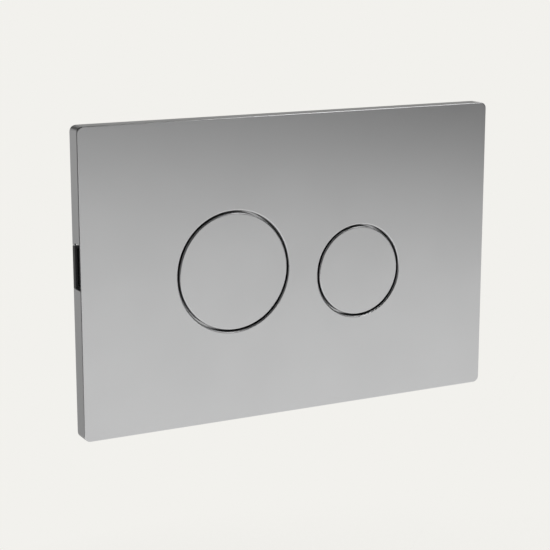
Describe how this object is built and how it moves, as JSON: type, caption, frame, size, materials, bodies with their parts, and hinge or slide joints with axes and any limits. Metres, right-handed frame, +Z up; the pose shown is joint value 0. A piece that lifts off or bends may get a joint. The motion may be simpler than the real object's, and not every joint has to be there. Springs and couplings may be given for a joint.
{
  "type": "flush button plate",
  "caption": "Flat wall plate for a concealed cistern with a large full flush and a small half flush round button, sprung push rods and a screw-on mounting frame.",
  "frame": {"origin": "centre of the plate on the wall face that it rests against", "axes": "+X to the right seen from the front, +Y into the wall, +Z up; the buttons face -Y"},
  "size_m": [0.246, 0.08, 0.164],
  "materials": {
    "satin_chrome": "satin",
    "black_plastic": "satin",
    "grey_plastic": "satin",
    "zinc_steel": "satin",
    "spring_steel": "satin",
    "rubber": "matte"
  },
  "bodies": {
    "plate": {"cover_plate": "satin_chrome", "button_carrier": "black_plastic", "mounting_frame": "black_plastic", "carrier_screws": "zinc_steel", "fixing_bolt_left": "zinc_steel", "fixing_bolt_right": "zinc_steel", "washer_left": "zinc_steel", "washer_right": "zinc_steel", "thumb_nut_left": "grey_plastic", "thumb_nut_right": "grey_plastic", "full_flush_spring": "spring_steel", "half_flush_spring": "spring_steel"},
    "full_flush": {"full_flush_button": "satin_chrome", "full_flush_bumper": "rubber", "full_flush_push_rod": "zinc_steel", "full_flush_lock_nut": "zinc_steel"},
    "half_flush": {"half_flush_button": "satin_chrome", "half_flush_bumper": "rubber", "half_flush_push_rod": "zinc_steel", "half_flush_lock_nut": "zinc_steel"}
  },
  "joints": [
    {"name": "full_flush_press", "type": "slide", "parent": "plate", "child": "full_flush", "axis": [0, 1, 0], "range_m": [0, 0.005], "stiffness_N_per_m": 300, "springref_m": -0.01, "deforming": ["full_flush_spring"]},
    {"name": "half_flush_press", "type": "slide", "parent": "plate", "child": "half_flush", "axis": [0, 1, 0], "range_m": [0, 0.005], "stiffness_N_per_m": 300, "springref_m": -0.01, "deforming": ["half_flush_spring"]}
  ]
}
